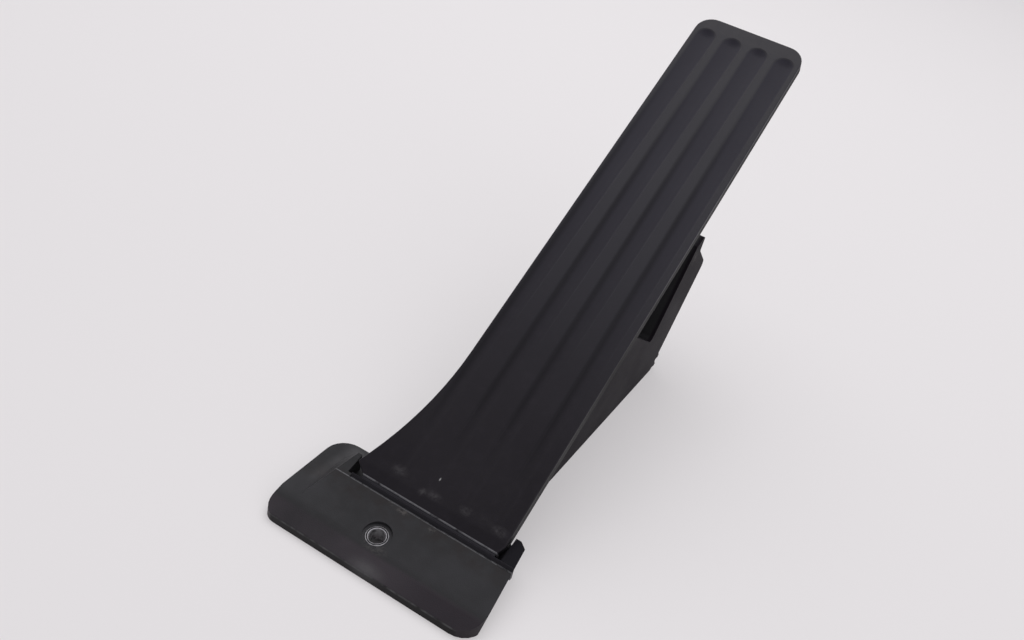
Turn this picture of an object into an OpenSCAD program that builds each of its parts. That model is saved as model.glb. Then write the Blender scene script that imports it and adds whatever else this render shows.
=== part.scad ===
// Floor-hinged accelerator pedal with a contactless position sensor.
// X is across the pedal, Y runs from the foot to the pedal's free end, Z is up.
// The origin is where the axis of the bolt sleeve meets the floor.

/* [Pedal plate] */
// Length of the pedal face from the hinge to its free end
pedal_len = 263.6; // [240:0.2:280]
// Distance of the straight left edge from the middle plane
edge_left = 26.6; // [25:0.1:29]
// Distance of the right edge from the middle plane at the free end
edge_right_top = 25.2; // [24:0.1:27]
// Distance of the right edge from the middle plane at the hinge
edge_right_low = 27.6; // [25:0.1:28]
// Radius of the two corners at the free end
corner_r = 8; // [4:0.5:12]
// How far the left edge flares out at the hinge
flare_w = 12.7; // [8:0.1:13]
// Length of the flare along the left edge
flare_len = 60; // [45:1:75]
// Thickness of the pedal plate
plate_t = 3.2; // [2.8:0.1:3.8]
// Depth of the skirt's lower edge below the face
skirt_d = 5; // [4.2:0.1:6.5]
// Thickness of the skirt and of the ribs on the back
skirt_t = 1.6; // [1.2:0.1:2]
// Depth of the ribs' lower edges below the face
rib_d = 9; // [7.5:0.1:10]
// Spacing of the cross ribs on the back
rib_pitch = 26; // [20:1:40]

/* [Grooves] */
// Number of grooves in the pedal face
groove_n = 4; // [2:1:4]
// Spacing of the grooves at the free end
groove_pitch_top = 12.85; // [11:0.05:13]
// Spacing of the grooves at the hinge
groove_pitch_low = 14.4; // [12:0.1:15]
// Width of one groove at the free end
groove_w = 10; // [7:0.1:10.5]
// Depth of one groove at the free end
groove_d = 1.3; // [0.8:0.05:1.6]
// Depth of one groove at the hinge
groove_low_d = 0.35; // [0.2:0.05:0.8]
// Distance from the free end to the grooves' round ends
groove_end_gap = 6.5; // [5:0.5:12]
// Distance from the hinge to the grooves' lower round ends
groove_low_gap = 7; // [6:0.5:16]
// Offset of the row of grooves from the middle plane at the free end
groove_mid_top = -0.65; // [-1.5:0.05:0]
// Offset of the row of grooves from the middle plane at the hinge
groove_mid_low = -1.35; // [-3:0.05:0]

/* [Rest position and travel] */
// Angle between the pedal face and the floor at rest
pedal_angle = 32.3; // [31:0.1:34]
// Height of the pedal's lower edge above the floor
hinge_z = 13.8; // [13:0.1:15]
// Pedal travel about the film hinge
travel = 12; // [8:0.5:12.5]

/* [Film hinge] */
// Width of the film hinge's web
film_w = 60; // [40:1:62]
// Offset of the web's middle from the middle plane
film_mid = -4; // [-5:0.5:-2]
// Thickness of the web
film_t = 0.7; // [0.4:0.1:1]
// Length of the web between strip and pedal
film_len = 2; // [1.5:0.1:2.4]
// Depth of the web's top below the pedal's lower edge
film_drop = 0.25; // [0.1:0.05:0.6]
// Thickness of the hinge strip along the foot
strip_t = 1.5; // [1.2:0.1:2]
// Depth of the hinge strip in its groove
strip_d = 3; // [2:0.1:4]
// Clearance of the hinge strip in its groove
strip_gap = 0.1; // [0.05:0.05:0.2]
// Number of snap lugs under the hinge strip
lug_n = 4; // [2:1:5]
// Width of one snap lug
lug_w = 6; // [4:0.5:8]

/* [Foot] */
// Distance of the foot's left edge from the middle plane
foot_left = 57; // [54:0.1:64]
// Distance of the foot's right edge from the middle plane at the hinge
ear_right = 34.8; // [34:0.1:36]
// Spread of the foot's right wall for each millimetre towards its front
right_taper = 0.16; // [0.1:0.01:0.2]
// Length of the right ear beyond the left one
ear_back = 3; // [1:0.5:6]
// Lean of the foot's right wall for each millimetre down
right_lean = 0.17; // [0.1:0.01:0.2]
// Distance of the foot's front edge in front of the hinge line
foot_front = 30.1; // [29:0.1:34]
// Distance of the flap's rear edge behind the hinge line
flap_rear = 17.5; // [12:0.1:24]
// Radius of the foot's plan corners at its right front and left rear
foot_r = 9; // [6:0.5:12]
// Radius of the foot's plan corner at its left front
foot_left_r = 6; // [4:0.5:10]
// Height of the lip along the foot's front edge
lip_h = 3.1; // [2:0.1:4]
// Radius of the soft crease between ramp and front strip
crease_r = 20; // [5:1:40]
// Slope of the front strip
strip_slope = 24; // [20:0.5:27]
// Slope of the ramp
ramp_slope = 16.5; // [14:0.5:18]
// Height of the ramp at its upper edge
ramp_h = 12.3; // [12:0.1:13]
// Height of the flap and of the deck behind the hinge
deck_z = 7.6; // [7:0.1:8]
// Wall thickness of the foot and deck
wall = 2.5; // [2:0.1:3]
// Thickness of the ribs under the foot and deck
under_rib_t = 1.6; // [1.2:0.1:2]
// Spacing of the ribs under the foot and deck
under_rib_pitch = 15; // [12:1:20]
// Distance from the ramp's left edge to the middle plane
ramp_left = 44.5; // [44:0.5:48]

// Length of the room behind the hinge for the pedal's lower end
pocket_len = 37.4; // [32:0.2:44]

/* [Bolt sleeve] */
// Distance of the sleeve from the middle plane
bolt_left = 14.4; // [8:0.1:20]
// Distance of the sleeve's top in front of the hinge line
bolt_front = 16.4; // [15:0.1:18]
// Tilt of the sleeve from the vertical
bolt_tilt = 10; // [6:0.5:14]
// Bore radius of the sleeve
sleeve_bore_r = 3.3; // [2.6:0.05:3.6]
// Wall thickness of the sleeve
sleeve_wall = 1.1; // [0.9:0.1:2]
// Radius of the spot face round the sleeve
spot_r = 5.7; // [5.4:0.1:8]
// Depth of the spot face at the sleeve's axis
spot_depth = 0.5; // [0.2:0.1:1]

/* [Housing] */
// Half of the housing's width
side_x = 18; // [17:0.1:20]
// Thickness of the housing's side walls
side_t = 3; // [2.4:0.1:3.4]
// Length of the flat bottom behind the hinge line
knee_y = 167.7; // [160:0.5:175]
// Angle of the toe board face to the floor
toe_angle = 58; // [54:0.5:62]
// Length of the toe board face
toe_len = 59.3; // [55:0.1:63]
// Gap between the housing's top edge and the pedal's ribs at full travel
top_gap = 4; // [3:0.1:6]
// Gap between the housing's top corner and the pedal's ribs at full travel
horn_gap = 1.4; // [1:0.1:4]
// Height of the side recess's lower edge along the toe board face
notch_u = 13; // [8:0.5:20]
// Distance from the toe board face to the side recess
notch_v = 28.5; // [27:0.5:34]
// Depth of the side recess's lower part
recess_deep = 9; // [6:0.5:10]
// Depth of the side recess's upper part
recess_shallow = 5; // [3:0.5:6]
// Height of the step between the two parts along the toe board face
recess_step = 29; // [24:0.5:34]
// Wall thickness of the side recess
recess_t = 2; // [1.6:0.1:2.4]
// Depth from the toe board face to the inner cross plate
cross_v = 24; // [22:0.1:25]
// Height of the inner cross plate's lower edge along the toe board face
cross_u = 30; // [26:0.5:34]
// Thickness of the cross plates
cross_t = 2; // [1.6:0.1:2.4]
// Height of the barbs at the knee
barb = 3; // [1.2:0.1:3.2]
// Step from one barb to the other along the toe board face
barb_pitch = 4.6; // [4:0.1:6]
// Width of the barbs at the knee
barb_w = 7; // [4:0.5:12]
// Number of cross ribs between the foot and the lever
cross_rib_n = 2; // [1:1:3]
// Spacing of the deck's cross plates
cross_rib_pitch = 25; // [20:1:30]

/* [Lever and track] */
// Distance of the lever's pivot behind the hinge line
pivot_y = 100; // [96:0.5:104]
// Height of the lever's pivot above the floor
pivot_z = 22; // [21:0.1:24]
// Place of the shoe along the pedal at rest
shoe_s = 158; // [154:0.5:162]
// Depth of the shoe's centre below the pedal face at rest
shoe_d = 16; // [15:0.1:18]
// Radius of the shoe's nose
shoe_r = 5.5; // [4.5:0.1:6]
// Half of the shoe's width
shoe_x = 6; // [4.5:0.1:6.5]
// Lever turn for each degree of pedal turn
lever_ratio = 2.3; // [2.1:0.05:2.5]
// Running gap between shoe and track
track_gap = 0.1; // [0.05:0.05:0.3]
// Radius of the lever's hub
hub_r = 8.3; // [7.5:0.1:9]
// Half of the hub's length
hub_x = 9.2; // [8.8:0.1:9.4]
// Half of the arm's thickness
arm_x = 3; // [2.4:0.1:3.2]
// Half of the arm's depth near the hub
arm_root = 7; // [5.5:0.1:7.5]
// Half of the arm's depth near its tip
arm_tip = 4.2; // [3.5:0.1:4.5]
// Half of the thickness of the tongue in the shoe
tongue_b = 2.4; // [1.8:0.1:2.8]
// Length of the tongue
tongue_len = 12; // [10:0.5:14]
// Radius of the lever shaft
shaft_r = 4; // [3:0.1:4.4]
// Running clearance of the shaft in its bushes
shaft_gap = 0.05; // [0.02:0.01:0.1]
// Wall thickness of the bushes
bush_wall = 1.9; // [1.4:0.1:2.2]

/* [Return springs] */
// Mean radius of the spring coils
coil_r = 10.4; // [9.8:0.1:11]
// Radius of the spring wire
wire_r = 0.7; // [0.5:0.05:0.8]
// Number of full turns before the last part turn
coil_turns = 3; // [2:1:3]
// Length of the leg along the lever
arm_leg = 26; // [22:1:30]

/* [Sensor and connector] */
// Outer radius of the sensor pod
pod_r = 17; // [16.5:0.1:18]
// Depth of the sensor pod outside the side wall
pod_depth = 10.5; // [10:0.1:14]
// Wall thickness of the sensor pod
pod_wall = 2.7; // [2.4:0.1:3]
// Thickness of the sensor cover
cover_t = 2.2; // [1.8:0.1:3]
// Thickness of the circuit board
board_t = 1.6; // [1:0.1:2]
// Radius of the sensor magnet
magnet_r = 5; // [3.5:0.1:5.5]
// Height of the connector shell
plug_h = 15; // [13:0.5:19]
// Width of the connector shell
plug_w = 12.3; // [11:0.1:14]
// Length of the connector shell
plug_len = 28; // [26:0.5:36]
// Wall thickness of the connector shell
plug_wall = 1.6; // [1.2:0.1:2]
// Depth of the connector's inlet
inlet_depth = 20; // [15:0.5:22]
// Width of one square terminal pin
pin_w = 1; // [0.6:0.1:1.2]

/* [Hidden] */
$fn = 48;

// Colours of the moulded plastics and metals
base_black = [0.17, 0.17, 0.18];
pedal_black = [0.12, 0.12, 0.13];
steel = [0.66, 0.66, 0.68];
spring_steel = [0.5, 0.5, 0.53];
bush_cream = [0.78, 0.74, 0.62];
rubber_black = [0.06, 0.06, 0.06];
board_green = [0.1, 0.32, 0.18];
chip_grey = [0.1, 0.1, 0.11];
tin = [0.75, 0.72, 0.6];

// Small distances that keep cuts clean and joined solids overlapping
eps = 0.01;
lap = 0.6;

// Plane geometry in (Y, Z) and in (across, along)
function rot2(p, a) = [p[0] * cos(a) - p[1] * sin(a), p[0] * sin(a) + p[1] * cos(a)];
function unit(v) = v / norm(v);
function wrap(a) = a > 180 ? a - 360 : a < -180 ? a + 360 : a;
function arc(c, r, a0, a1, n) = [for (i = [0:n]) let (
    a = a0 + (a1 - a0) * i / n)
    c + r * [cos(a), sin(a)]];
function corner(p, q, s, r, n) = let (
    u = unit(p - q),
    v = unit(s - q),
    half = acos(u * v) / 2,
    c = q + unit(u + v) * r / sin(half),
    t = r / tan(half),
    b = q + u * t - c,
    e = q + v * t - c,
    a0 = atan2(b[1], b[0]))
    arc(c, r, a0, a0 + wrap(atan2(e[1], e[0]) - a0), n);
function rounded(pts, radii, n = 6) = [for (i = [0:len(pts) - 1])
    let (p = pts[(i + len(pts) - 1) % len(pts)], s = pts[(i + 1) % len(pts)])
    each (radii[i] > 0 ? corner(p, pts[i], s, radii[i], n) : [pts[i]])];

// Hinge axis, pedal frame and the line that the pedal's ribs reach at full travel
hinge_origin = [0, hinge_z];
ramp_y = -(film_len + strip_t - 0.8);
web_y = ramp_y + strip_t + strip_gap;
web_top = hinge_z - film_drop;
web_low = web_top - film_t;
// The pedal's lower edge face leans back, and the web meets it
function pedal_edge_y(z) = (hinge_z - z) * tan(pedal_angle);
hinge_axis = [(web_y + pedal_edge_y((web_low + web_top) / 2)) / 2, (web_low + web_top) / 2];
full_angle = pedal_angle - travel;
function pedal_to_side(s, d) = hinge_origin + rot2([s, d], pedal_angle);
function at_full(p) = hinge_axis + rot2(p - hinge_axis, -travel);
full_rib_start = at_full(pedal_to_side(0, -rib_d));
function full_rib_z(y) = full_rib_start[1] + (y - full_rib_start[0]) * tan(full_angle);

// The tool that cuts the grooves, and the width it leaves where they are shallow
groove_r = (groove_w * groove_w / 4 + groove_d * groove_d) / (2 * groove_d);
groove_low_w = 2 * sqrt(2 * groove_r * groove_low_d - groove_low_d * groove_low_d);

// Lever and track: the shoe's path is written in the pedal's own frame
pivot = [pivot_y, pivot_z];
shoe_rest = pedal_to_side(shoe_s, -shoe_d);
lever_len = norm(shoe_rest - pivot);
lever_angle = atan2(shoe_rest[1] - pivot[1], shoe_rest[0] - pivot[0]);
function shoe_at(a) = pivot + rot2(shoe_rest - pivot, -lever_ratio * a);
function in_pedal(p, a) = rot2(hinge_axis + rot2(p - hinge_axis, a) - hinge_origin, -pedal_angle);
track_from = -1.5;
track_to = travel + 1.5;
track_steps = 20;
track_path = [for (i = [0:track_steps]) let (a = track_from + (track_to - track_from) * i / track_steps)
    in_pedal(shoe_at(a), a)];
function path_normal(i) = let (
    d = track_path[min(i + 1, track_steps)] - track_path[max(i - 1, 0)])
    unit([-d[1], d[0]]);
track_face = [for (i = [0:track_steps]) track_path[i] + path_normal(i) * (shoe_r + track_gap)];
track_pad_x = shoe_x + 1.2;
back_rib_x = track_pad_x + skirt_t;

// Toe board frame: u runs up the face from the knee, v runs into the housing
toe_u = [cos(toe_angle), sin(toe_angle)];
toe_v = [-sin(toe_angle), cos(toe_angle)];
knee = [knee_y, 0];
function toe(u, v) = knee + toe_u * u + toe_v * v;
inner_x = side_x - side_t;
tip = toe(toe_len, 0);
hook_v = 19.4;
hook_u = toe_len + 2.4;
hook_root = toe(hook_u, hook_v);
horn_y = hook_root[0] + 0.7;
top_front_y = 14;
// The side walls' upper edge closes in on the pedal's ribs towards the top corner
function top_z(y) = full_rib_z(y) - horn_gap - (top_gap - horn_gap) * (horn_y - y) / (horn_y - top_front_y);
horn = [horn_y, top_z(horn_y)];
top_slope = atan((horn[1] - top_z(top_front_y)) / (horn_y - top_front_y));
far = 2 * toe_len;

// Ramp profile
crease_y = -foot_front + (ramp_h - (ramp_y + foot_front) * tan(ramp_slope) - lip_h)
    / (tan(strip_slope) - tan(ramp_slope));
crease_z = lip_h + (crease_y + foot_front) * tan(strip_slope);
foot_right = ear_right + right_taper * (foot_front + ramp_y) - right_lean * (ramp_h - lip_h);
// Length over which the foot narrows to the housing, and its lap under the housing
ear_run = 12;
flap_lap = 8;
ear_y = 7.4;
ear_z = ramp_h + (ear_y - ramp_y) * tan(ramp_slope);
left_lean = 0.85;
swing_gap = 0.8;
pocket_right = edge_right_low + swing_gap;
pocket_left = edge_left + flare_w + swing_gap;
swing_y = ramp_y + strip_t;

// Bolt sleeve
sleeve_r = sleeve_bore_r + sleeve_wall;
ramp_at_bolt = ramp_h + (ramp_y + bolt_front) * -tan(ramp_slope);
bolt_top_z = ramp_at_bolt - spot_depth;
bolt_y = -bolt_front + bolt_top_z * tan(bolt_tilt);
sleeve_low = 0.3 + sleeve_r * tan(bolt_tilt);
sleeve_len = bolt_top_z / cos(bolt_tilt);
boss_r = sleeve_r + 2.4;

// Hub stack along the shaft, from the middle plane outwards
washer_gap = 0.1;
washer_t = 1;
washer_in = 0.3;
washer_bore_gap = 0.1;
washer_x = hub_x + washer_gap;
flange_x = washer_x + washer_t + washer_gap;
flange_t = 0.8;
boss_x = flange_x + flange_t;
bush_bore_r = shaft_r + shaft_gap;
bush_r = bush_bore_r + bush_wall;
flange_r = bush_r + 1.6;
bearing_boss_r = bush_r + 2.2;
skin = 1;
press_gap = 0.01;
shaft_right = side_x - skin - 0.6;

// Springs: the coil starts at the rear of the hub and ends under the arm
coil_in = arm_x + wire_r + 0.5;
coil_pitch = 2 * wire_r + 0.1;
coil_end_angle = lever_angle - 90;
coil_sweep = 360 * coil_turns + coil_end_angle;
coil_out = coil_in + coil_pitch * coil_sweep / 360;
floor_leg = pivot_z - deck_z - wire_r - 0.3;
leg_gap = 0.1;
leg_stop_t = 2.4;
leg_stop_h = 4;
lug_a = 18;
lug_len = 6;

// Sensor stack outside the left wall
pod_x = side_x + pod_depth;
pod_inner_r = pod_r - pod_wall;
carrier_r = magnet_r + 2.6;
carrier_from = side_x + 1;
carrier_len = 5.2;
magnet_t = 1.9;
magnet_x = carrier_from + carrier_len - magnet_t - 0.2;
shaft_left = magnet_x - 0.5;
board_x = pod_x - board_t - 1;
board_r = pod_inner_r - 0.3;
chip_t = 0.8;
screw_n = 3;
screw_ring = pod_r + 2;
screw_first = 60;
lug_r = 3.6;
screw_r = 1.45;
head_r = 2.9;
head_h = 1.8;
screw_depth = 8;
screw_gap = 0.15;
screw_end_gap = 0.5;
head_taper = 0.7;
seal_r = 0.8;
seal_gap = 0.02;
spigot_len = 0.9;
spigot_gap = 0.15;
spigot_in = 1.8;
seal_ring = pod_r - pod_wall / 2;
plug_y = pivot_y + 8;
plug_z = pivot_z - 2;
plug_x = pod_x + cover_t;
pin_rows = 2;
pin_cols = 3;
pin_pitch = 3.6;
pin_out = 12;
pin_root = 4;

// Stops
idle_r = 4;
idle_y = pivot_y - 15.5;
heel_z = pivot_z - 6;
stem_r = 1.8;
stop_gap = 0.2;
stem_room = 8;
buffer_r = 3.2;
shelf_front = toe((hook_u + toe_len) / 2, cross_v + cross_t)[0];
buffer_y = (shelf_front + horn_y) / 2 - 0.4;
buffer_s = (buffer_y - full_rib_start[0]) / cos(full_angle);
shelf_t = 2.4;
shelf_over = 0.6;
barb_u = 1.5;
barb_r = 1.2;
barb_fade = 0.25;

// Frames
module car() {
    translate([bolt_left, -bolt_y, 0])
        children();
}
module in_pedal_frame() {
    translate([0, 0, hinge_z])
        rotate([pedal_angle, 0, 0])
            children();
}
// A (Y, Z) outline pushed along X between two planes
module across(x0, x1) {
    translate([x0, 0, 0])
        rotate([90, 0, 90])
            linear_extrude(height = x1 - x0)
                children();
}
// A cylinder along X about the pivot
module round_x(x0, x1, r) {
    translate([x0, pivot_y, pivot_z])
        rotate([0, 90, 0])
            cylinder(h = x1 - x0, r = r);
}
module lever_outline() {
    translate(pivot)
        rotate(lever_angle)
            children();
}
module at_screws() {
    for (i = [0:screw_n - 1]) {
        a = screw_first + i * 360 / screw_n;
        translate([0, screw_ring * cos(a), screw_ring * sin(a)])
            children();
    }
}

// Pedal plate
function flare_arc(inset, n = 10) = let (
    r = (flare_w * flare_w + flare_len * flare_len) / (2 * flare_w),
    a = asin(flare_len / r),
    low = 4)
    arc([-edge_left - r + inset, low + flare_len], r, -a, 0, n);
function pedal_outline(inset) = concat(
    [[film_mid - film_w / 2 + inset, inset]],
    flare_arc(inset),
    rounded([[-edge_left + inset, pedal_len - inset], [edge_right_top - inset, pedal_len - inset]],
        [0, 0]),
    [[edge_right_low - inset, 4], [film_mid + film_w / 2 - inset, inset]]);
// The same outline with its two free corners rounded
function pedal_points(inset) = let (
    p = pedal_outline(inset),
    n = len(p),
    r = corner_r - inset)
    concat([for (i = [0:n - 5]) p[i]],
        corner(p[n - 5], p[n - 4], p[n - 3], r, 8),
        corner(p[n - 4], p[n - 3], p[n - 2], r, 8),
        [p[n - 2], p[n - 1]]);
module pedal_slab(inset, d0, d1) {
    translate([0, 0, d0])
        linear_extrude(height = d1 - d0)
            polygon(pedal_points(inset));
}
// A long tool with round ends: its lower side cuts one groove
module groove_tool(length) {
    ends = 8;
    low = [for (i = [0:ends]) groove_r * [sin(90 * i / ends), -cos(90 * i / ends)]];
    high = [for (i = [0:ends]) [0, length] + groove_r * [cos(90 * i / ends), sin(90 * i / ends)]];
    rotate([-90, 0, 0])
        rotate_extrude($fn = 96)
            polygon(concat(low, high));
}
// The grooves fan out and run out in depth towards the hinge
module grooves() {
    low_s = groove_low_gap + groove_low_w / 2;
    run = pedal_len - groove_end_gap - groove_w / 2 - low_s;
    for (i = [0:groove_n - 1]) {
        k = i - (groove_n - 1) / 2;
        x_low = groove_mid_low + k * groove_pitch_low;
        x_top = groove_mid_top + k * groove_pitch_top;
        fan = atan2(x_low - x_top, run);
        translate([x_low, low_s, groove_r - groove_low_d])
            rotate([0, 0, fan])
                rotate([atan2(groove_low_d - groove_d, run), 0, 0])
                    groove_tool(run / cos(fan));
    }
}
module track_block() {
    top = -plate_t + lap;
    points = concat(track_face, [[track_face[track_steps][0], top], [track_face[0][0], top]]);
    across(-track_pad_x, track_pad_x)
        polygon(points);
}
module back_ribs() {
    rib_from = 16;
    rib_end_gap = 22;
    rib_to = pedal_len - rib_end_gap;
    for (x = [-back_rib_x, track_pad_x])
        translate([x, rib_from, -rib_d])
            cube([skirt_t, rib_to - rib_from, rib_d - plate_t + lap]);
    for (s = [rib_from:rib_pitch:rib_to]) {
        for (side = [-1, 1])
            translate([side > 0 ? track_pad_x : -edge_left + skirt_t - lap, s, -skirt_d])
                cube([(side > 0 ? edge_right_top : edge_left) - track_pad_x - skirt_t + lap, skirt_t,
                    skirt_d - plate_t + lap]);
    }
    for (s = [track_face[0][0] - skirt_t, track_face[track_steps][0]])
        translate([-back_rib_x, s, -rib_d])
            cube([2 * back_rib_x, skirt_t, rib_d - plate_t + lap]);
    translate([-back_rib_x, buffer_s - buffer_r - 1, -rib_d])
        cube([2 * back_rib_x, 2 * buffer_r + 2, rib_d - plate_t + lap]);
}
module pedal_plate() {
    color(pedal_black)
        car()
            in_pedal_frame() {
                difference() {
                    union() {
                        pedal_slab(0, -plate_t, 0);
                        difference() {
                            pedal_slab(0, -skirt_d, -plate_t + lap);
                            pedal_slab(skirt_t, -skirt_d - 1, -plate_t);
                        }
                    }
                    grooves();
                }
                track_block();
                back_ribs();
            }
}

// Film hinge and its strip
strip_sink = 0.9;
strip_over = 4.2;
strip_end_gap = 0.1;
strip_top = ramp_h - strip_sink;
strip_left = film_mid - film_w / 2 - strip_over;
strip_right = ear_right - strip_end_gap;
module hinge_strip() {
    color(pedal_black)
        car() {
            across(strip_left, strip_right)
                polygon([[ramp_y + strip_gap, strip_top - strip_d], [web_y, strip_top - strip_d],
                    [web_y, web_top], [web_y - strip_t / 3, web_top], [ramp_y + strip_gap, strip_top]]);
            for (i = [0:lug_n - 1])
                translate([film_mid + (i - (lug_n - 1) / 2) * film_w / lug_n - lug_w / 2,
                    ramp_y + strip_gap, deck_z - wall - 1])
                    cube([lug_w, strip_t, strip_top - strip_d + lap - deck_z + wall + 1]);
        }
}
module film_hinge() {
    web_gap = 0.05;
    color(pedal_black)
        car()
            across(film_mid - film_w / 2, film_mid + film_w / 2)
                polygon([[web_y, web_low], [pedal_edge_y(web_low) - web_gap, web_low],
                    [pedal_edge_y(web_top) - web_gap, web_top], [web_y, web_top]]);
}

// Base housing: foot, deck, side walls and sensor pod in one moulding
// Outline of the foot along its upper edges
function foot_plan(inset) = rounded(
    [[-foot_left + inset, -foot_front + inset], [foot_right - inset, -foot_front + inset],
    [ear_right - inset, ramp_y], [ear_right - inset, ear_y - inset], [side_x - inset, ear_y + ear_run],
    [side_x - inset, flap_rear + flap_lap], [-side_x + inset, flap_rear + flap_lap],
    [-side_x + inset, flap_rear - inset], [-foot_left + inset, flap_rear - inset]],
    [foot_left_r - inset, foot_r - inset, 0, 0, 0, 0, 0, 0, foot_r - inset]);
// The right wall leans in towards the floor
module foot_block(inset, z0, z1) {
    reach = 2 * foot_left;
    difference() {
        translate([0, 0, z0])
            linear_extrude(height = z1 - z0)
                polygon(foot_plan(inset));
        translate([ear_right - inset, ramp_y, ramp_h])
            rotate([0, 0, atan(right_taper)])
                rotate([0, atan(right_lean), 0])
                    translate([0, -reach, -reach])
                        cube([reach, 2 * reach, 2 * reach]);
    }
}
module flap_profile() {
    intersection() {
        union() {
            ramp_profile();
            translate([ramp_y, 0])
                square([flap_rear + flap_lap - ramp_y, deck_z]);
        }
        translate([-foot_front, 0])
            square([foot_front + flap_rear + flap_lap, deck_z]);
    }
}
module ramp_profile(back = ear_y) {
    polygon(rounded([[-foot_front, 0], [-foot_front, lip_h], [crease_y, crease_z],
        [back, ramp_h + (back - ramp_y) * tan(ramp_slope)], [back, 0]],
        [0, 1, crease_r, 0, 0]));
}
// The ramp's left side leans down to the flap
module ramp_front() {
    top = ear_z + 1;
    rotate([90, 0, 0])
        translate([0, 0, -ear_y - 1])
            linear_extrude(height = foot_front + ear_y + 2)
                polygon([[-ramp_left - ramp_h * left_lean, 0], [foot_right + 1, 0], [foot_right + 1, top],
                    [-ramp_left + (top - ramp_h) * left_lean, top]]);
}
module foot_form(inset, drop) {
    intersection() {
        foot_block(inset, inset > 0 ? -1 : 0, ear_z + ear_back);
        translate([0, 0, -drop])
            union() {
                across(-foot_left - 1, foot_right + 1)
                    flap_profile();
                across(pocket_right, foot_right + 1)
                    ramp_profile(ear_y + ear_back);
                intersection() {
                    across(-foot_left - 1, foot_right + 1)
                        ramp_profile();
                    ramp_front();
                }
            }
    }
}
module housing_side(inset = 0) {
    polygon(rounded(
        [[ear_y - 4, inset], [knee_y - inset, inset], tip + [-1.2, -0.3] * inset, hook_root, horn,
        [top_front_y, top_z(top_front_y)], [ear_y - 4, deck_z]],
        [0, 3, 4, 2, 1.2, 3, 0]));
}
module toe_rect(u0, u1, v0, v1) {
    translate(knee)
        rotate(toe_angle)
            translate([u0, v0])
                square([u1 - u0, v1 - v0]);
}
module recess_outline(grow) {
    translate(knee)
        rotate(toe_angle)
            polygon(rounded([[notch_u - grow, notch_v - grow], [far, notch_v - grow],
                [far, far], [notch_u - grow, far]],
                [3 + grow, 0, 0, 0]));
}
// A blind recess in the right side wall: deep below the step and shallow above it
module recess_floor(depth, u0, u1) {
    across(side_x - depth - recess_t, side_x - depth)
        intersection() {
            housing_side();
            recess_outline(recess_t);
            toe_rect(u0, u1, 0, far);
        }
}
module side_recess() {
    recess_floor(recess_deep, 0, recess_step);
    recess_floor(recess_shallow, recess_step - recess_t, far);
    across(side_x - recess_deep - recess_t, side_x - recess_shallow)
        intersection() {
            housing_side();
            recess_outline(recess_t);
            toe_rect(recess_step - recess_t, recess_step, 0, far);
        }
    across(side_x - recess_deep - recess_t, side_x - lap)
        difference() {
            intersection() {
                housing_side();
                recess_outline(recess_t);
            }
            recess_outline(0);
        }
}
module under_ribs() {
    x_from = -foot_left + under_rib_pitch / 2;
    for (x = [x_from:under_rib_pitch:foot_right])
        translate([x, -foot_front, 0])
            cube([under_rib_t, foot_front + knee_y, ear_z]);
    for (y = [-foot_front + under_rib_pitch:under_rib_pitch:knee_y])
        translate([-foot_left, y, 0])
            cube([foot_left + foot_right, under_rib_t, ear_z]);
}
module deck_block(z0, z1, inset) {
    translate([-side_x + inset, ear_y, z0])
        cube([2 * (side_x - inset), knee_y - ear_y - inset, z1 - z0]);
}
module pod_body() {
    round_x(-pod_x, -inner_x, pod_r);
    translate([-pod_x, pivot_y, pivot_z])
        at_screws()
            rotate([0, 90, 0])
                cylinder(h = pod_depth + lap, r = lug_r);
}
module base_solid() {
    difference() {
        union() {
            foot_form(0, 0);
            deck_block(0, deck_z, 0);
        }
        difference() {
            union() {
                difference() {
                    foot_form(wall, wall);
                    translate([-pocket_left - wall, swing_y - wall, deck_z - wall])
                        cube([pocket_left + wall + foot_right, ear_y + foot_front, ear_z]);
                }
                translate([0, 0, -1])
                    deck_block(0, deck_z - wall + 1, wall);
            }
            under_ribs();
        }
    }
    across(-side_x, -inner_x)
        housing_side();
    across(inner_x, side_x)
        difference() {
            housing_side();
            recess_outline(0);
        }
    side_recess();
    across(-inner_x - lap, inner_x + lap)
        intersection() {
            housing_side();
            union() {
                toe_rect(-wall, far, -1, wall);
                toe_rect(cross_u, far, cross_v, cross_v + cross_t);
                translate([horn_y, horn[1] - shelf_t])
                    rotate(top_slope)
                        translate([-(horn_y - shelf_front) / cos(top_slope) - shelf_over, 0])
                            square([toe_len, shelf_t]);
                for (i = [1:cross_rib_n])
                    translate([ear_y + i * cross_rib_pitch, 0])
                        square([cross_t, pivot_z]);
            }
        }
    for (side = [-1, 1])
        round_x(side > 0 ? boss_x : -inner_x - lap, side > 0 ? inner_x + lap : -boss_x, bearing_boss_r);
    translate([-inner_x, pivot_y + coil_r - wire_r - leg_gap - leg_stop_t, deck_z - lap])
        cube([2 * inner_x, leg_stop_t, leg_stop_h + lap]);
    for (x = [-side_x, side_x - barb_w])
        across(x, x + barb_w)
            for (k = [0, 1])
                translate([barb_pitch * cos(toe_angle), barb_pitch * sin(toe_angle)] * k)
                    polygon([toe(barb_u, lap), toe(barb_u, 0),
                        toe(barb_u + barb_r, -barb * (1 - k * barb_fade)),
                        toe(barb_u + 2 * barb_r, -barb * (1 - k * barb_fade)),
                        toe(barb_u + 3 * barb_r, lap)]);
    pod_body();
    translate([-bolt_left, bolt_y, 0])
        rotate([bolt_tilt, 0, 0])
            translate([0, 0, sleeve_low])
                cylinder(h = sleeve_len - sleeve_low - 1, r = boss_r);
}
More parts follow.
